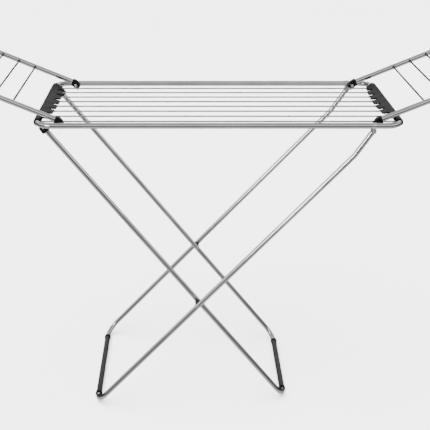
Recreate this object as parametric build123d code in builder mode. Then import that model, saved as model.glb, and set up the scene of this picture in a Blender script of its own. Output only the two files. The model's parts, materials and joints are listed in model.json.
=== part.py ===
"""Winged clothes drying rack: a wired top frame, two folding wings and crossed legs.

Millimetres, +Z up, X along the rails, Y across the rack. The origin is on the floor under the
middle of the top frame. Every moving part keeps to its own lane in Y so it can pass the others.
"""
from build123d import *
from math import cos, hypot, radians, sin, sqrt, tan
import os

os.makedirs("parts", exist_ok=True)

# ---- driving dimensions -------------------------------------------------------------------
RAIL_Z = 1059.0        # height of the rail centre lines
RAIL_Y = 275.0         # half distance between the rail centre lines
RAIL_R = 9.5           # outside radius of the frame tube
RAIL_WALL = 0.8
END_X = 588.0          # centre line of the end tubes
CORNER_R = 50.0        # bend radius of the frame corners
SPLIT_GAP = 0.5        # half gap where the two frame tubes meet under each comb

WIRE_R = 2.7           # line wires of the top frame
WIRE_DROP = 3.7        # their axes lie this far under the rail axes
WIRE_COUNT = 8
WIRE_PITCH = 2 * RAIL_Y / (WIRE_COUNT + 1)

COMB_HALF = 222.0      # half length of a comb's toothed part along Y
COMB_R = 12.0          # outside radius of its clip round the end tube
COMB_WRAP = 14.0       # degrees that its ends follow the frame corners
COMB_REACH_MID = 56.0  # width in X at the middle
COMB_REACH_END = 40.0  # width in X at its ends
NOTCH_DEPTH = 20.0
NOTCH_R = 9.0          # half width of a hanger notch

TUBE_R = 9.0           # outside radius of leg and wing tubes
TUBE_WALL = 0.8
RIVET_R = 3.0
HEAD_R = 5.0
RUN_FIT = 0.06         # radial clearance of a hole that turns on a rivet

LANE_B = 267.0         # half width, centre line, of the outer leg frame
LANE_A = 227.0         # the inner leg frame
LANE_W = 247.5         # the wings

B_TOP = (498.0, 1040.0)     # X, Z of the outer legs' hinge
B_KNEE = (442.0, 955.0)     # slight bend near their tops
B_FOOT = (-426.0, 12.0)
B_FOOT_Y = 206.0            # middle of a foot ring, outer legs
B_CORNER_R = 52.0
A_TOP = (-569.0, 1040.0)    # X, Z of the inner legs' tops
A_FOOT = (253.0, 12.0)
A_FOOT_Y = 173.0
A_CORNER_R = 46.0
RING_R = 12.6          # a little more than the foot height, so the sole is flat
RING_W = 12.0
B_KNUCKLE_R = 8.7        # radius of the outer legs' hinge knuckles
A_CAP_R = 13.0           # round end of the inner legs' caps
B_KNUCKLE_HALF = 9.2     # their half thickness
A_CAP_HALF = 9.5         # half thickness of the inner legs' top caps

WING_X = 513.0         # X of the wing hinges, either side
WING_RISE = 22.5       # degrees above level when open
WING_OFFSET = 8.0      # tube axis above the hinge, square to the wing
WING_LENGTH = 473.0    # hinge to the axis of the end tube
WING_CORNER_R = 45.0
WING_WIRE_R = 3.2
KNUCKLE_W = 19.0       # width of a wing hinge knuckle along Y
# its side outline, along the wing and square to it: flat mouth, then round the rivet
KNUCKLE_OUTLINE = [(18, -4), (18, 18.5), (9, 18.5), (-8, 11), (-15, -2), (-12, -13.5)]
WING_WIRE_FIRST = 163.0
WING_WIRE_PITCH = 62.0
WING_WIRES = 5

STRAP_R = RAIL_R + 1.4      # the half ring that holds the outer legs' hinge to the rail
STRAP_IN = LANE_B + 9.4     # inner face of its tongue beside the leg
STRAP_OUT = STRAP_IN + 2.0

# where the straight parts of the legs cross
A_SLOPE = (A_FOOT[0] - A_TOP[0]) / (A_TOP[1] - A_FOOT[1])
B_SLOPE = (B_KNEE[0] - B_FOOT[0]) / (B_KNEE[1] - B_FOOT[1])
CROSS_Z = (A_TOP[0] + A_SLOPE * A_TOP[1] - B_FOOT[0] + B_SLOPE * B_FOOT[1]) / (A_SLOPE + B_SLOPE)
CROSS_X = A_TOP[0] + A_SLOPE * (A_TOP[1] - CROSS_Z)


def save(builder, name):
    """Label a finished piece and write it as its own node."""
    builder.part.label = name
    export_step(builder.part, "parts/" + name + ".step")


def add_bent_path(points, radii):
    """Draw straight runs through the points with tangent arcs at the inner points."""
    start = Vector(*points[0])
    for i in range(1, len(points) - 1):
        corner = Vector(*points[i])
        back = (Vector(*points[i - 1]) - corner).normalized()
        ahead = (Vector(*points[i + 1]) - corner).normalized()
        half = back.get_angle(ahead) / 2
        reach = radii[i - 1] / tan(radians(half))
        arc_in = corner + back * reach
        arc_out = corner + ahead * reach
        middle = (back + ahead).normalized()
        depth = radii[i - 1] / sin(radians(half)) - radii[i - 1]
        Line(start, arc_in)
        ThreePointArc(arc_in, corner + middle * depth, arc_out)
        start = arc_out
    Line(start, Vector(*points[-1]))


def tube_piece(points, radii, outer, wall):
    """Hollow bent tube along a path."""
    with BuildPart() as tube:
        with BuildLine() as path:
            add_bent_path(points, radii)
        with BuildSketch(Plane(origin=path.line @ 0, z_dir=path.line % 0)):
            Circle(outer)
            Circle(outer - wall, mode=Mode.SUBTRACT)
        sweep(path=path.line)
    return tube


def rod_y(x, z, y_from, y_to, radius, mode=Mode.ADD):
    """Round bar along Y between two Y values, inside the current part."""
    low = min(y_from, y_to)
    high = max(y_from, y_to)
    with Locations(Plane(origin=(x, low, z), x_dir=(1, 0, 0), z_dir=(0, 1, 0)).location):
        Cylinder(radius, high - low, align=(Align.CENTER, Align.CENTER, Align.MIN), mode=mode)


def rod_between(start, end, radius, mode=Mode.ADD):
    """Round bar between two points, inside the current part."""
    run = Vector(*end) - Vector(*start)
    with Locations(Plane(origin=start, z_dir=run).location):
        Cylinder(radius, run.length, align=(Align.CENTER, Align.CENTER, Align.MIN), mode=mode)


def box_span(x, y, z, mode=Mode.ADD):
    """Box given as three (from, to) pairs, inside the current part."""
    with Locations(((x[0] + x[1]) / 2, (y[0] + y[1]) / 2, (z[0] + z[1]) / 2)):
        Box(abs(x[1] - x[0]), abs(y[1] - y[0]), abs(z[1] - z[0]), mode=mode)


def add_leg_cap(top, toward, lane, half, round_r, mouth_half):
    """Moulded leg end: round about the rivet, widening to a square mouth where the tube enters."""
    length = hypot(toward[0] - top[0], toward[1] - top[1])
    along = ((toward[0] - top[0]) / length, (toward[1] - top[1]) / length)
    across = (along[1], -along[0])
    mouth = 17.0

    def at(a, b):
        return (top[0] + a * along[0] + b * across[0], top[1] + a * along[1] + b * across[1])

    side = Plane(origin=(0, lane - half, 0), x_dir=(1, 0, 0), z_dir=(0, -1, 0))
    with BuildSketch(side, mode=Mode.PRIVATE) as face:
        with BuildLine():
            Line(at(mouth, -mouth_half), at(mouth, mouth_half))
            Line(at(mouth, mouth_half), at(0, round_r))
            ThreePointArc(at(0, round_r), at(-round_r, 0), at(0, -round_r))
            Line(at(0, -round_r), at(mouth, -mouth_half))
        make_face()
    extrude(face.sketch, amount=-2 * half)


def slide(start, end, distance):
    """X, Z point a distance along the line from start towards end."""
    length = hypot(end[0] - start[0], end[1] - start[1])
    return (start[0] + (end[0] - start[0]) * distance / length,
            start[1] + (end[1] - start[1]) * distance / length)


ENDS = (("front", -1), ("rear", 1))
SIDES = (("left", -1), ("right", 1))

# ---- top frame ----------------------------------------------------------------------------
for end_name, sy in ENDS:
    corner_points = [
        (-END_X, sy * SPLIT_GAP, RAIL_Z),
        (-END_X, sy * RAIL_Y, RAIL_Z),
        (END_X, sy * RAIL_Y, RAIL_Z),
        (END_X, sy * SPLIT_GAP, RAIL_Z),
    ]
    frame_tube = tube_piece(corner_points, [CORNER_R, CORNER_R], RAIL_R, RAIL_WALL)
    save(frame_tube, "frame_tube_" + end_name)

for side_name, sx in SIDES:
    with BuildPart() as sleeve:
        rod_y(sx * END_X, RAIL_Z, -45, 45, RAIL_R - RAIL_WALL)
        rod_y(sx * END_X, RAIL_Z, -45, 45, RAIL_R - 2.5 * RAIL_WALL, mode=Mode.SUBTRACT)
    save(sleeve, "joint_sleeve_" + side_name)

WIRE_YS = [RAIL_Y - (k + 1) * WIRE_PITCH for k in range(WIRE_COUNT)]
WIRE_Z = RAIL_Z - WIRE_DROP
for k, wire_y in enumerate(WIRE_YS):
    with BuildPart() as wire:
        rod_between((-END_X, wire_y, WIRE_Z), (END_X, wire_y, WIRE_Z), WIRE_R)
        for sx in (-1, 1):
            rod_y(sx * END_X, RAIL_Z, wire_y - 5, wire_y + 5, RAIL_R, mode=Mode.SUBTRACT)
    save(wire, "line_wire_" + str(k + 1))

# combs: a clip over the end tube with sloping fingers between the line wires
for side_name, sx in SIDES:
    with BuildPart() as comb:
        with BuildSketch(Plane(origin=(0, -COMB_HALF, RAIL_Z), x_dir=(1, 0, 0), z_dir=(0, 1, 0))):
            # local x is X; local y points down, so heights are negated
            with Locations((sx * END_X, 0)):
                Circle(COMB_R)
            inner = END_X + COMB_R - COMB_REACH_MID
            with BuildLine():
                Polyline(
                    (sx * END_X, -COMB_R),
                    (sx * (END_X - 14), -10.5),
                    (sx * inner, -3.0),
                    (sx * inner, 0.5),
                    (sx * (END_X - 14), -4.0),
                    (sx * END_X, 4.0),
                    close=True,
                )
            make_face()
        extrude(amount=2 * COMB_HALF)
        rod_y(sx * END_X, RAIL_Z, -COMB_HALF - 1, COMB_HALF + 1, RAIL_R, mode=Mode.SUBTRACT)
        # the clip is open underneath
        box_span((sx * END_X - 7.5, sx * END_X + 7.5), (-COMB_HALF - 1, COMB_HALF + 1),
                 (RAIL_Z - COMB_R - 1, RAIL_Z - 3), mode=Mode.SUBTRACT)
        # plain clip ends that follow the frame round its corners
        for sy in (-1, 1):
            bend_y = sy * (RAIL_Y - CORNER_R)
            bend_x = sx * (END_X - CORNER_R)
            turn = radians(COMB_WRAP)
            with BuildLine() as wrap:
                Line((sx * END_X, sy * (COMB_HALF - 0.5), RAIL_Z), (sx * END_X, bend_y, RAIL_Z))
                ThreePointArc(
                    (sx * END_X, bend_y, RAIL_Z),
                    (bend_x + sx * CORNER_R * cos(turn / 2), bend_y + sy * CORNER_R * sin(turn / 2), RAIL_Z),
                    (bend_x + sx * CORNER_R * cos(turn), bend_y + sy * CORNER_R * sin(turn), RAIL_Z),
                )
            with BuildSketch(Plane(origin=wrap.line @ 0, z_dir=wrap.line % 0)):
                Circle(COMB_R)
                Circle(RAIL_R, mode=Mode.SUBTRACT)
            sweep(path=wrap.line)
        # bowed inboard edge
        far = END_X + COMB_R - COMB_REACH_END
        with BuildSketch(Plane.XY.offset(RAIL_Z - 20)):
            with BuildLine():
                Line((sx * (inner - 5), -COMB_HALF - 2), (sx * far, -COMB_HALF - 2))
                ThreePointArc((sx * far, -COMB_HALF - 2), (sx * inner, 0), (sx * far, COMB_HALF + 2))
                Line((sx * far, COMB_HALF + 2), (sx * (inner - 5), COMB_HALF + 2))
                Line((sx * (inner - 5), COMB_HALF + 2), (sx * (inner - 5), -COMB_HALF - 2))
            make_face()
        extrude(amount=60, mode=Mode.SUBTRACT)
        # hanger notches over the line wires
        bow_radius = ((COMB_HALF + 2) ** 2 + (COMB_REACH_MID - COMB_REACH_END) ** 2)
        bow_radius = bow_radius / (2 * (COMB_REACH_MID - COMB_REACH_END))
        with BuildSketch(Plane.XY.offset(RAIL_Z - 20)):
            for wire_y in WIRE_YS:
                sag = bow_radius - sqrt(bow_radius ** 2 - wire_y ** 2)
                edge = inner + sag
                with Locations((sx * (edge + NOTCH_DEPTH - NOTCH_R), wire_y)):
                    Circle(NOTCH_R)
                with Locations((sx * (edge + (NOTCH_DEPTH - NOTCH_R) / 2 - 6), wire_y)):
                    Rectangle(NOTCH_DEPTH - NOTCH_R + 12, 2 * NOTCH_R)
        extrude(amount=60, mode=Mode.SUBTRACT)
        # shallow channels let the line wires pass under the comb
        for wire_y in WIRE_YS:
            rod_between((sx * (inner - 5), wire_y, WIRE_Z), (sx * END_X, wire_y, WIRE_Z),
                        WIRE_R + 0.3, mode=Mode.SUBTRACT)
    save(comb, "comb_" + side_name)

# wing brackets and rivets, outer-leg straps and rivets
for side_name, sx in SIDES:
    for end_name, sy in ENDS:
        with BuildPart() as bracket:
            box_span((sx * WING_X - 9, sx * WING_X + 9), (sy * (LANE_W + 9.9), sy * (RAIL_Y - 2)),
                     (RAIL_Z - 9, RAIL_Z + 9))
            fillet(bracket.edges().filter_by(Axis.Y), radius=4)
            rod_between((sx * WING_X - 20, sy * RAIL_Y, RAIL_Z), (sx * WING_X + 20, sy * RAIL_Y, RAIL_Z),
                        RAIL_R, mode=Mode.SUBTRACT)
            rod_y(sx * WING_X, RAIL_Z, sy * LANE_W, sy * (LANE_W + 18), RIVET_R, mode=Mode.SUBTRACT)
        save(bracket, "wing_bracket_" + side_name + "_" + end_name)
    with BuildPart() as rivets:
        for sy in (-1, 1):
            rod_y(sx * WING_X, RAIL_Z, sy * (LANE_W - 9.5), sy * (LANE_W + 18), RIVET_R)
            rod_y(sx * WING_X, RAIL_Z, sy * (LANE_W - 10.5), sy * (LANE_W - 9.5), HEAD_R)
    save(rivets, "wing_rivets_" + side_name)

for end_name, sy in ENDS:
    with BuildPart() as strap:
        rod_between((B_TOP[0] - 8, sy * RAIL_Y, RAIL_Z), (B_TOP[0] + 5, sy * RAIL_Y, RAIL_Z), STRAP_R)
        box_span((B_TOP[0] - 8, B_TOP[0] + 5), (sy * STRAP_IN, sy * STRAP_OUT), (B_TOP[1], RAIL_Z))
        rod_y(B_TOP[0], B_TOP[1], sy * STRAP_IN, sy * STRAP_OUT, 8)
        rod_between((B_TOP[0] - 20, sy * RAIL_Y, RAIL_Z), (B_TOP[0] + 20, sy * RAIL_Y, RAIL_Z),
                    RAIL_R, mode=Mode.SUBTRACT)
        # only the half outside the leg's lane is left of the ring round the rail
        box_span((B_TOP[0] - 20, B_TOP[0] + 20), (sy * (LANE_B - 20), sy * STRAP_IN),
                 (B_TOP[1] - 20, RAIL_Z + 20), mode=Mode.SUBTRACT)
        rod_y(B_TOP[0], B_TOP[1], sy * LANE_B, sy * (RAIL_Y + 10), RIVET_R, mode=Mode.SUBTRACT)
    save(strap, "leg_hinge_strap_" + end_name)

with BuildPart() as rivets:
    for sy in (-1, 1):
        rod_y(B_TOP[0], B_TOP[1], sy * (LANE_B - 9), sy * STRAP_OUT, RIVET_R)
        rod_y(B_TOP[0], B_TOP[1], sy * STRAP_OUT, sy * (STRAP_OUT + 1.3), HEAD_R)
save(rivets, "leg_hinge_rivets")

# ---- outer legs ---------------------------------------------------------------------------
B_TUBE_TOP = slide(B_TOP, B_KNEE, 7)
for end_name, sy in ENDS:
    lane = sy * LANE_B
    leg_points = [
        (B_TUBE_TOP[0], lane, B_TUBE_TOP[1]),
        (B_KNEE[0], lane, B_KNEE[1]),
        (B_FOOT[0], lane, B_FOOT[1]),
        (B_FOOT[0], sy * 150, B_FOOT[1]),
    ]
    leg = tube_piece(leg_points, [120, B_CORNER_R], TUBE_R, TUBE_WALL)
    with leg:
        rod_y(CROSS_X, CROSS_Z, sy * (LANE_B - 20), sy * (LANE_B + 20), RIVET_R, mode=Mode.SUBTRACT)
    save(leg, "leg_b_tube_" + end_name)

    with BuildPart() as knuckle:
        rod_y(B_TOP[0], B_TOP[1], sy * (LANE_B - B_KNUCKLE_HALF), sy * (LANE_B + B_KNUCKLE_HALF),
              B_KNUCKLE_R)
        rod_between((B_TUBE_TOP[0], lane, B_TUBE_TOP[1]), (B_KNEE[0], lane, B_KNEE[1]), TUBE_R,
                    mode=Mode.SUBTRACT)
        rod_y(B_TOP[0], B_TOP[1], sy * (LANE_B - 12), sy * (LANE_B + 12), RIVET_R + RUN_FIT,
              mode=Mode.SUBTRACT)
    save(knuckle, "leg_b_knuckle_" + end_name)

with BuildPart() as foot_bar:
    rod_y(B_FOOT[0], B_FOOT[1], -B_FOOT_Y + RING_W / 2, B_FOOT_Y - RING_W / 2, TUBE_R + 1.0)
    rod_y(B_FOOT[0], B_FOOT[1], -B_FOOT_Y, B_FOOT_Y, TUBE_R, mode=Mode.SUBTRACT)
save(foot_bar, "leg_b_foot_bar")

for end_name, sy in ENDS:
    with BuildPart() as ring:
        rod_y(B_FOOT[0], B_FOOT[1], sy * (B_FOOT_Y - RING_W / 2), sy * (B_FOOT_Y + RING_W / 2), RING_R)
        fillet(ring.edges(), radius=3)
        rod_y(B_FOOT[0], B_FOOT[1], sy * (B_FOOT_Y - RING_W), sy * (B_FOOT_Y + RING_W), TUBE_R,
              mode=Mode.SUBTRACT)
        box_span((B_FOOT[0] - 20, B_FOOT[0] + 20), (-300, 300), (-10, 0), mode=Mode.SUBTRACT)
    save(ring, "leg_b_foot_ring_" + end_name)

with BuildPart() as cross_rivets:
    for sy in (-1, 1):
        rod_y(CROSS_X, CROSS_Z, sy * (LANE_A - TUBE_R - 1), sy * (LANE_B + TUBE_R + 0.8), RIVET_R)
        rod_y(CROSS_X, CROSS_Z, sy * (LANE_A - TUBE_R - 2.2), sy * (LANE_A - TUBE_R - 1), HEAD_R)
        rod_y(CROSS_X, CROSS_Z, sy * (LANE_B + TUBE_R + 0.8), sy * (LANE_B + TUBE_R + 2), HEAD_R)
save(cross_rivets, "leg_cross_rivets")

with BuildPart() as spacers:
    for sy in (-1, 1):
        rod_y(CROSS_X, CROSS_Z, sy * (LANE_A + TUBE_R + 0.4), sy * (LANE_B - 4), TUBE_R + 1)
        rod_between((B_KNEE[0], sy * LANE_B, B_KNEE[1]), (B_FOOT[0], sy * LANE_B, B_FOOT[1]),
                    TUBE_R, mode=Mode.SUBTRACT)
        rod_y(CROSS_X, CROSS_Z, sy * LANE_A, sy * LANE_B, RIVET_R, mode=Mode.SUBTRACT)
save(spacers, "leg_cross_spacers")

# ---- inner legs ---------------------------------------------------------------------------
A_TUBE_TOP = slide(A_TOP, A_FOOT, 7)
for end_name, sy in ENDS:
    lane = sy * LANE_A
    leg_points = [
        (A_TUBE_TOP[0], lane, A_TUBE_TOP[1]),
        (A_FOOT[0], lane, A_FOOT[1]),
        (A_FOOT[0], sy * 125, A_FOOT[1]),
    ]
    leg = tube_piece(leg_points, [A_CORNER_R], TUBE_R, TUBE_WALL)
    with leg:
        rod_y(CROSS_X, CROSS_Z, sy * (LANE_A - 20), sy * (LANE_A + 20), RIVET_R + RUN_FIT,
              mode=Mode.SUBTRACT)
    save(leg, "leg_a_tube_" + end_name)

    with BuildPart() as cap:
        add_leg_cap(A_TOP, A_FOOT, lane, A_CAP_HALF, A_CAP_R, 14)
        rod_between((A_TUBE_TOP[0], lane, A_TUBE_TOP[1]), (A_FOOT[0], lane, A_FOOT[1]), TUBE_R,
                    mode=Mode.SUBTRACT)
        rod_y(A_TOP[0], A_TOP[1], sy * (LANE_A - 12), sy * (LANE_A + 12), RIVET_R, mode=Mode.SUBTRACT)
    save(cap, "leg_a_cap_" + end_name)

with BuildPart() as cap_rivets:
    for sy in (-1, 1):
        inner_face = sy * (LANE_A - A_CAP_HALF)
        outer_face = sy * (LANE_A + A_CAP_HALF)
        rod_y(A_TOP[0], A_TOP[1], inner_face, outer_face, RIVET_R)
        rod_y(A_TOP[0], A_TOP[1], outer_face, outer_face + sy * 0.3, HEAD_R)
        rod_y(A_TOP[0], A_TOP[1], inner_face - sy * 0.3, inner_face, HEAD_R)
save(cap_rivets, "leg_a_cap_rivets")

with BuildPart() as foot_bar:
    rod_y(A_FOOT[0], A_FOOT[1], -A_FOOT_Y + RING_W / 2, A_FOOT_Y - RING_W / 2, TUBE_R + 1.0)
    rod_y(A_FOOT[0], A_FOOT[1], -A_FOOT_Y, A_FOOT_Y, TUBE_R, mode=Mode.SUBTRACT)
save(foot_bar, "leg_a_foot_bar")

for end_name, sy in ENDS:
    with BuildPart() as ring:
        rod_y(A_FOOT[0], A_FOOT[1], sy * (A_FOOT_Y - RING_W / 2), sy * (A_FOOT_Y + RING_W / 2), RING_R)
        fillet(ring.edges(), radius=3)
        rod_y(A_FOOT[0], A_FOOT[1], sy * (A_FOOT_Y - RING_W), sy * (A_FOOT_Y + RING_W), TUBE_R,
              mode=Mode.SUBTRACT)
        box_span((A_FOOT[0] - 20, A_FOOT[0] + 20), (-300, 300), (-10, 0), mode=Mode.SUBTRACT)
    save(ring, "leg_a_foot_ring_" + end_name)


# ---- wings --------------------------------------------------------------------------------
def wing_point(sx, along, up, y):
    """Point given along a wing from its hinge, square above it, and across the rack."""
    rise = radians(WING_RISE)
    return (sx * (WING_X + along * cos(rise) - up * sin(rise)), y,
            RAIL_Z + along * sin(rise) + up * cos(rise))


for side_name, sx in SIDES:
    wing_points = [
        wing_point(sx, 14, WING_OFFSET, -LANE_W),
        wing_point(sx, WING_LENGTH, WING_OFFSET, -LANE_W),
        wing_point(sx, WING_LENGTH, WING_OFFSET, LANE_W),
        wing_point(sx, 14, WING_OFFSET, LANE_W),
    ]
    wing_tube = tube_piece(wing_points, [WING_CORNER_R, WING_CORNER_R], TUBE_R, TUBE_WALL)
    save(wing_tube, "wing_tube_" + side_name)

    for k in range(WING_WIRES):
        along = WING_WIRE_FIRST + k * WING_WIRE_PITCH
        with BuildPart() as wire:
            rod_between(wing_point(sx, along, WING_OFFSET, -LANE_W),
                        wing_point(sx, along, WING_OFFSET, LANE_W), WING_WIRE_R)
            for sy in (-1, 1):
                rod_between(wing_point(sx, along - 5, WING_OFFSET, sy * LANE_W),
                            wing_point(sx, along + 5, WING_OFFSET, sy * LANE_W), TUBE_R,
                            mode=Mode.SUBTRACT)
        save(wire, "wing_wire_" + side_name + "_" + str(k + 1))

    for end_name, sy in ENDS:
        y_low = sy * LANE_W - KNUCKLE_W / 2
        outline = [wing_point(sx, a, u, y_low) for a, u in KNUCKLE_OUTLINE]
        with BuildPart() as knuckle:
            with BuildSketch(Plane(origin=(0, y_low, 0), x_dir=(1, 0, 0), z_dir=(0, -1, 0))):
                with BuildLine():
                    flat = [(x, z) for x, _, z in outline]
                    Line(flat[0], flat[1])
                    ThreePointArc(flat[1], flat[2], flat[3])
                    ThreePointArc(flat[3], flat[4], flat[5])
                    Line(flat[5], flat[0])
                make_face()
            extrude(amount=-KNUCKLE_W)
            rod_between(wing_point(sx, 14, WING_OFFSET, sy * LANE_W),
                        wing_point(sx, 40, WING_OFFSET, sy * LANE_W), TUBE_R, mode=Mode.SUBTRACT)
            rod_y(sx * WING_X, RAIL_Z, sy * (LANE_W - 12), sy * (LANE_W + 12), RIVET_R + RUN_FIT,
                  mode=Mode.SUBTRACT)
        save(knuckle, "wing_knuckle_" + side_name + "_" + end_name)
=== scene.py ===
import json
import math
import bpy
import bmesh
from mathutils import Matrix, Vector


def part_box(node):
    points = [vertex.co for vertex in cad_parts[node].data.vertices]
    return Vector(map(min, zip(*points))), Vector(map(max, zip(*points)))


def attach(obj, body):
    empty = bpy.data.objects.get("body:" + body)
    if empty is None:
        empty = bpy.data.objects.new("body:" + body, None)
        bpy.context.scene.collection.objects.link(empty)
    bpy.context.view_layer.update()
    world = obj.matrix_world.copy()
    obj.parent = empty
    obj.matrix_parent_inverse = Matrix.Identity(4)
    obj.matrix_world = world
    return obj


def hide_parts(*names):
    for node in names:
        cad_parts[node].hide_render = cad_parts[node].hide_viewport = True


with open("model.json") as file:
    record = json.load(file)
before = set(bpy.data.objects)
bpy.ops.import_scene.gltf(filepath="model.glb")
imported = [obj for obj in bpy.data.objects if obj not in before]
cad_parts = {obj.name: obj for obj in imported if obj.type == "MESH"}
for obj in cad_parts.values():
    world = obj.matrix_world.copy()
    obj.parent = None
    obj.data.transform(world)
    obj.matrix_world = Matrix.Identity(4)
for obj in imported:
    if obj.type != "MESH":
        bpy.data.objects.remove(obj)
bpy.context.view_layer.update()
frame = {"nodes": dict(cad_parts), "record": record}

nodes = frame["nodes"]

# ---- camera: the viewing angle of the reference view --------------------------------------
PITCH = 22.27               # degrees below level
EYE = (-0.1064, -3.1145, 1.9138)
SENSOR_MM = 36.0
LENS_MM = 77.29116
SHIFT_X = 0.0686047         # the camera's axis lies left of the picture's middle
CLIP_END = 200              # beyond the backdrop wall
cam_data = bpy.data.cameras.new("camera")
cam = bpy.data.objects.new("camera", cam_data)
bpy.context.collection.objects.link(cam)
cam.location = EYE
cam.rotation_euler = (math.radians(90 - PITCH), 0, 0)
cam_data.sensor_width = SENSOR_MM
cam_data.lens = LENS_MM
cam_data.shift_x = SHIFT_X
cam_data.clip_end = CLIP_END
cam_data.dof.use_dof = False
bpy.context.scene.camera = cam


# ---- node helpers -------------------------------------------------------------------------
def new_material(name):
    mat = bpy.data.materials.new(name)
    mat.use_nodes = True
    tree = mat.node_tree
    tree.nodes.clear()
    out = tree.nodes.new("ShaderNodeOutputMaterial")
    bsdf = tree.nodes.new("ShaderNodeBsdfPrincipled")
    tree.links.new(bsdf.outputs[0], out.inputs[0])
    return mat, tree, bsdf


def noise(tree, scale, detail, rough=0.5):
    """Noise over the object's own coordinates."""
    coord = tree.nodes.new("ShaderNodeTexCoord")
    tex = tree.nodes.new("ShaderNodeTexNoise")
    tex.inputs["Scale"].default_value = scale
    tex.inputs["Detail"].default_value = detail
    tex.inputs["Roughness"].default_value = rough
    tree.links.new(coord.outputs["Object"], tex.inputs["Vector"])
    return tex.outputs["Fac"]


def ramp(tree, source, stops):
    """Maps a value to a colour or a grey; stops are (position, colour or grey)."""
    node = tree.nodes.new("ShaderNodeValToRGB")
    elements = node.color_ramp.elements
    while len(elements) < len(stops):
        elements.new(0.5)
    for element, (pos, value) in zip(elements, stops):
        element.position = pos
        colour = value if isinstance(value, tuple) else (value, value, value)
        element.color = (*colour, 1)
    tree.links.new(source, node.inputs[0])
    return node.outputs[0]


def bump(tree, bsdf, height, strength, distance):
    node = tree.nodes.new("ShaderNodeBump")
    node.inputs["Strength"].default_value = strength
    node.inputs["Distance"].default_value = distance
    tree.links.new(height, node.inputs["Height"])
    tree.links.new(node.outputs[0], bsdf.inputs["Normal"])


def polished_metal(name, low, high, rough_low, rough_high, scale, ripple):
    """Bright metal: slow tone drift, fine marks in the roughness, faint ripple in the surface."""
    mat, tree, bsdf = new_material(name)
    bsdf.inputs["Metallic"].default_value = 1.0
    drift = noise(tree, scale, 2.0)
    tree.links.new(ramp(tree, drift, [(0.3, low), (0.7, high)]), bsdf.inputs["Base Color"])
    marks = noise(tree, scale * 14, 5.0, rough=0.65)
    tree.links.new(ramp(tree, marks, [(0.35, rough_low), (0.72, rough_high)]),
                   bsdf.inputs["Roughness"])
    bump(tree, bsdf, noise(tree, scale * 5, 3.0), ripple, 0.0004)
    return mat


def moulded_plastic(name, low, high, rough_low, rough_high, grain, strength):
    """Plastic, rubber or coating: fine grain and slightly uneven gloss."""
    mat, tree, bsdf = new_material(name)
    bsdf.inputs["Specular IOR Level"].default_value = 0.16
    tone = noise(tree, 35, 3.0)
    tree.links.new(ramp(tree, tone, [(0.3, low), (0.75, high)]), bsdf.inputs["Base Color"])
    gloss = noise(tree, 90, 4.0)
    tree.links.new(ramp(tree, gloss, [(0.3, rough_low), (0.7, rough_high)]),
                   bsdf.inputs["Roughness"])
    bump(tree, bsdf, noise(tree, grain, 2.0), strength, 0.0002)
    return mat


# name, darkest and lightest tone, lowest and highest roughness, noise scale, bump strength
chrome = polished_metal("chrome_tube", (0.54, 0.545, 0.555), (0.66, 0.665, 0.675),
                        0.09, 0.16, 9.0, 0.08)
line_steel = polished_metal("line_wire", (0.42, 0.42, 0.425), (0.52, 0.52, 0.525),
                            0.16, 0.28, 14.0, 0.08)
pin_steel = polished_metal("steel_pin", (0.74, 0.74, 0.745), (0.84, 0.84, 0.845),
                           0.16, 0.30, 60.0, 0.15)
black = moulded_plastic("black_plastic", (0.0010, 0.0010, 0.0011), (0.0030, 0.0030, 0.0032),
                        0.40, 0.56, 1400, 0.10)
sleeve_grey = moulded_plastic("dark_sleeve", (0.006, 0.006, 0.007), (0.012, 0.012, 0.013),
                              0.36, 0.52, 1000, 0.12)
rubber = moulded_plastic("black_rubber", (0.0012, 0.0012, 0.0012), (0.0035, 0.0035, 0.0035),
                         0.55, 0.72, 900, 0.2)
coated = moulded_plastic("wing_wire", (0.002, 0.002, 0.0022), (0.005, 0.005, 0.0055),
                         0.34, 0.48, 700, 0.10)

BY_SLOT = {
    "chrome_tube": chrome, "line_wire": line_steel, "steel_pin": pin_steel,
    "black_plastic": black, "dark_sleeve": sleeve_grey, "black_rubber": rubber,
    "wing_wire": coated,
}
node_slot = {s["node"]: s["material_slot"] for s in frame["record"]["subparts"]}
for name, obj in nodes.items():
    mat = BY_SLOT[node_slot[name]]
    if not obj.material_slots:
        obj.data.materials.append(mat)
    for material_slot in obj.material_slots:
        material_slot.material = mat

# sharp edges of the mouldings and of the outer legs' knuckles are rounded
ROUNDED = ("comb_", "wing_knuckle", "wing_bracket", "leg_a_cap_front", "leg_a_cap_rear",
           "leg_b_knuckle")
EDGE_ROUND = 0.0009
SHARP_ANGLE = 40            # degrees; shallower edges stay as they are
for name, obj in nodes.items():
    if name.startswith(ROUNDED):
        edge = obj.modifiers.new("rounded_edges", "BEVEL")
        edge.width = EDGE_ROUND
        edge.segments = 2
        edge.limit_method = "ANGLE"
        edge.angle_limit = math.radians(SHARP_ANGLE)
        edge.use_clamp_overlap = True


# ---- mesh helpers -------------------------------------------------------------------------
def mesh_object(name, bm, mat):
    """Turns a bmesh into an object with one material."""
    mesh = bpy.data.meshes.new(name)
    bm.to_mesh(mesh)
    bm.free()
    obj = bpy.data.objects.new(name, mesh)
    bpy.context.collection.objects.link(obj)
    mesh.materials.append(mat)
    return obj


def add_piece(name, bm, mat, body):
    """Turns a bmesh into a smooth piece that rides on a body."""
    bmesh.ops.recalc_face_normals(bm, faces=bm.faces)
    obj = mesh_object(name, bm, mat)
    for face in obj.data.polygons:
        face.use_smooth = True
    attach(obj, body)
    return obj


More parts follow.
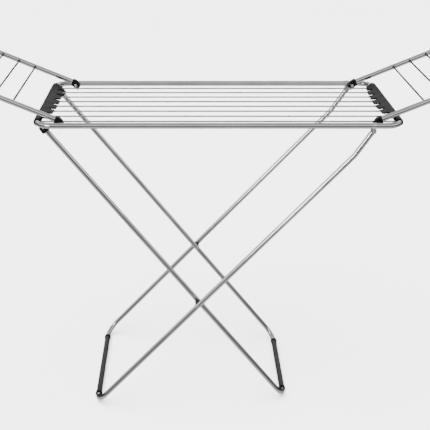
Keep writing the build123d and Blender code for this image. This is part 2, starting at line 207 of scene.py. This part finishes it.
def lathe(bm, profile, origin, axis, segments=32):
    """Adds a turned form: profile is (distance along the axis, radius) from end to end."""
    axis = Vector(axis).normalized()
    side = axis.orthogonal().normalized()
    other = axis.cross(side)
    origin = Vector(origin)
    rings = []
    for along, radius in profile:
        if radius < 1e-6:
            rings.append([bm.verts.new(origin + axis * along)])
            continue
        ring = []
        for i in range(segments):
            turn = 2 * math.pi * i / segments
            spoke = side * math.cos(turn) + other * math.sin(turn)
            ring.append(bm.verts.new(origin + axis * along + spoke * radius))
        rings.append(ring)
    for a, b in zip(rings, rings[1:]):
        if len(a) == 1 and len(b) == 1:
            continue
        for i in range(segments):
            j = (i + 1) % segments
            if len(a) == 1:
                bm.faces.new((a[0], b[i], b[j]))
            elif len(b) == 1:
                bm.faces.new((a[i], a[j], b[0]))
            else:
                bm.faces.new((a[i], a[j], b[j], b[i]))


def span(node):
    """Middle, lowest and highest corner of a CAD node."""
    low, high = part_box(node)
    return (Vector(low) + Vector(high)) / 2, Vector(low), Vector(high)


# ---- rivets: shank and domed heads --------------------------------------------------------
SHANK_R = 0.00298
HEAD_R = 0.0050
HEAD_HEIGHT = 0.001
DOME_STEPS = 6


def dome(edge, tip):
    """Quarter curve of a rivet head, from its rim to its tip."""
    turns = [math.pi / 2 * k / DOME_STEPS for k in range(DOME_STEPS + 1)]
    return [(edge + (tip - edge) * math.sin(turn), HEAD_R * math.cos(turn)) for turn in turns]


def rivet_profile(inner, outer, inner_head, outer_head):
    """From inner to outer end: a low dome where a head shows, plain where it's buried."""
    left = [(inner, 0.0), (inner, SHANK_R)]
    if inner_head:
        left = list(reversed(dome(inner + HEAD_HEIGHT, inner))) + [(inner + HEAD_HEIGHT, SHANK_R)]
    right = [(outer, SHANK_R), (outer, 0.0)]
    if outer_head:
        right = [(outer - HEAD_HEIGHT, SHANK_R)] + dome(outer - HEAD_HEIGHT, outer)
    return left + right


# body, then whether the inner and the outer end carry a head
RIVETS = {
    "wing_rivets_left": ("frame", True, False), "wing_rivets_right": ("frame", True, False),
    "leg_hinge_rivets": ("frame", False, True),
    "leg_cross_rivets": ("leg_b", True, True), "leg_a_cap_rivets": ("leg_a", True, True),
}
for node, (body, inner_head, outer_head) in RIVETS.items():
    mid = span(node)[0]
    reach = [abs(vert.co.y) for vert in nodes[node].data.vertices]
    profile = rivet_profile(min(reach), max(reach), inner_head, outer_head)
    bm = bmesh.new()
    for sign in (-1, 1):
        lathe(bm, profile, (mid.x, 0, mid.z), (0, sign, 0))
    piece = add_piece("domed_" + node, bm, pin_steel, body)
    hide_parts(node)

# ---- rubber foot rings with grip ribs ------------------------------------------------------
RING_BORE = 0.00905
RING_RIBS = 3
RIB_HEIGHT = 0.0008
RING_CHAMFER = 0.0008       # width of the sloping edge beside each end face
RING_SHOULDER = 0.0022      # how far the end faces stop short of the ribs' tops
RING_LIP = 0.0009           # how far the chamfer's inner end does
RING_EDGE = 0.0018          # width before the first rib
for leg, body in (("a", "leg_a"), ("b", "leg_b")):
    for end in ("front", "rear"):
        node = "leg_" + leg + "_foot_ring_" + end
        mid, low, high = span(node)
        half = (high.y - low.y) / 2
        outer = (high.x - low.x) / 2
        profile = [(-half, RING_BORE), (-half, outer - RING_SHOULDER),
                   (-half + RING_CHAMFER, outer - RING_LIP)]
        rib = (2 * half - 2 * RING_EDGE) / RING_RIBS
        for k in range(RING_RIBS):
            start = -half + RING_EDGE + k * rib
            profile += [(start, outer - RIB_HEIGHT), (start + rib * 0.25, outer),
                        (start + rib * 0.7, outer), (start + rib, outer - RIB_HEIGHT)]
        profile += [(half - RING_CHAMFER, outer - RING_LIP), (half, outer - RING_SHOULDER),
                    (half, RING_BORE), (-half, RING_BORE)]
        bm = bmesh.new()
        lathe(bm, profile, (mid.x, mid.y, high.z - outer), (0, 1, 0), 48)
        bmesh.ops.remove_doubles(bm, verts=bm.verts, dist=1e-6)
        for vert in bm.verts:
            vert.co.z = max(vert.co.z, 0.0)  # the sole is flat, as on the CAD ring
        piece = add_piece("ribbed_" + node, bm, rubber, body)
        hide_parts(node)

# ---- weld collars where the cross wires meet the wing tubes ---------------------------------
WING_WIRES = 5
# distance along the wire from the bead's outer end, then radius: it narrows down to the wire
WELD = [(0.0, 0.0031), (0.0, 0.0052), (-0.0009, 0.0047), (-0.0026, 0.0037), (-0.0040, 0.00318)]
WELD_INSET = 0.0002         # the bead starts this far in from the wire's end
for side in ("left", "right"):
    bm = bmesh.new()
    for k in range(1, WING_WIRES + 1):
        mid, _, high = span("wing_wire_" + side + "_" + str(k))
        for sign in (-1, 1):
            lathe(bm, WELD, (mid.x, sign * (high.y - WELD_INSET), mid.z), (0, sign, 0), 20)
    add_piece("wing_welds_" + side, bm, coated, "wing_" + side)

# ---- floor and light -----------------------------------------------------------------------
FLOOR_HALF = 60
WALL_R = 55
WALL_HEIGHT = 90
WALL_DROP = 1               # the wall's foot is this far under the floor
WALL_GLOW = 4.3

floor_mat, tree, bsdf = new_material("studio_floor")
tone = noise(tree, 0.8, 2.0)
tree.links.new(ramp(tree, tone, [(0.2, 0.90), (0.8, 0.93)]), bsdf.inputs["Base Color"])
bsdf.inputs["Roughness"].default_value = 0.8
bsdf.inputs["Specular IOR Level"].default_value = 0.1
bm = bmesh.new()
bmesh.ops.create_grid(bm, x_segments=1, y_segments=1, size=FLOOR_HALF)
floor = mesh_object("floor", bm, floor_mat)
floor.visible_glossy = False  # the tubes mirror the studio, which is darker low down

# a pale wall all round, which only the camera sees, so it neither lights nor shades the rack
wall_mat = bpy.data.materials.new("studio_wall")
wall_mat.use_nodes = True
tree = wall_mat.node_tree
tree.nodes.clear()
out = tree.nodes.new("ShaderNodeOutputMaterial")
glow = tree.nodes.new("ShaderNodeEmission")
glow.inputs["Strength"].default_value = WALL_GLOW
tone = noise(tree, 0.05, 1.0)
tree.links.new(ramp(tree, tone, [(0.2, 0.98), (0.8, 1.0)]), glow.inputs["Color"])
tree.links.new(glow.outputs[0], out.inputs[0])
bm = bmesh.new()
bmesh.ops.create_cone(bm, cap_ends=False, segments=96, radius1=WALL_R, radius2=WALL_R,
                      depth=WALL_HEIGHT,
                      matrix=Matrix.Translation((0, 0, WALL_HEIGHT / 2 - WALL_DROP)))
wall = mesh_object("wall", bm, wall_mat)
wall.visible_glossy = False
wall.visible_diffuse = False
wall.visible_shadow = False

WORLD_STRENGTH = 1.35
# height of the direction, from straight down at 0 to straight up at 1, and its brightness:
# dark near the horizon, so that polished tubes show dark lines
WORLD_BANDS = [(0.0, 0.60), (0.22, 0.50), (0.34, 0.28), (0.42, 0.04), (0.52, 0.03),
               (0.60, 0.28), (0.68, 1.0), (0.79, 1.0), (0.87, 0.32), (1.0, 0.50)]
world = bpy.data.worlds.new("studio")
bpy.context.scene.world = world
world.use_nodes = True
tree = world.node_tree
tree.nodes.clear()
out = tree.nodes.new("ShaderNodeOutputWorld")
background = tree.nodes.new("ShaderNodeBackground")
coord = tree.nodes.new("ShaderNodeTexCoord")
split = tree.nodes.new("ShaderNodeSeparateXYZ")
tree.links.new(coord.outputs["Generated"], split.inputs[0])
height = tree.nodes.new("ShaderNodeMath")
height.operation = "MULTIPLY_ADD"
height.inputs[1].default_value = 0.5
height.inputs[2].default_value = 0.5
tree.links.new(split.outputs["Z"], height.inputs[0])
tree.links.new(ramp(tree, height.outputs[0], WORLD_BANDS), background.inputs[0])
background.inputs[1].default_value = WORLD_STRENGTH
tree.links.new(background.outputs[0], out.inputs[0])


def area(name, location, target, size, power):
    """Adds a rectangular lamp that faces the target."""
    data = bpy.data.lights.new(name, "AREA")
    data.shape = "RECTANGLE"
    data.size, data.size_y = size
    data.energy = power
    lamp = bpy.data.objects.new(name, data)
    bpy.context.collection.objects.link(lamp)
    lamp.location = location
    aim = Vector(target) - Vector(location)
    lamp.rotation_euler = aim.to_track_quat("-Z", "Y").to_euler()


SUN_ENERGY = 15.0
SUN_SPREAD = 75             # degrees, so that shadows stay very soft
SUN_TILT = (12, -10, 0)
sky = bpy.data.lights.new("overhead", "SUN")
sky.energy = SUN_ENERGY
sky.angle = math.radians(SUN_SPREAD)
overhead = bpy.data.objects.new("overhead", sky)
bpy.context.collection.objects.link(overhead)
overhead.rotation_euler = [math.radians(turn) for turn in SUN_TILT]
overhead.visible_glossy = False
area("front_softbox", location=(-2.6, -3.6, 2.6), target=(0, 0, 0.7), size=(1.6, 1.6), power=90)
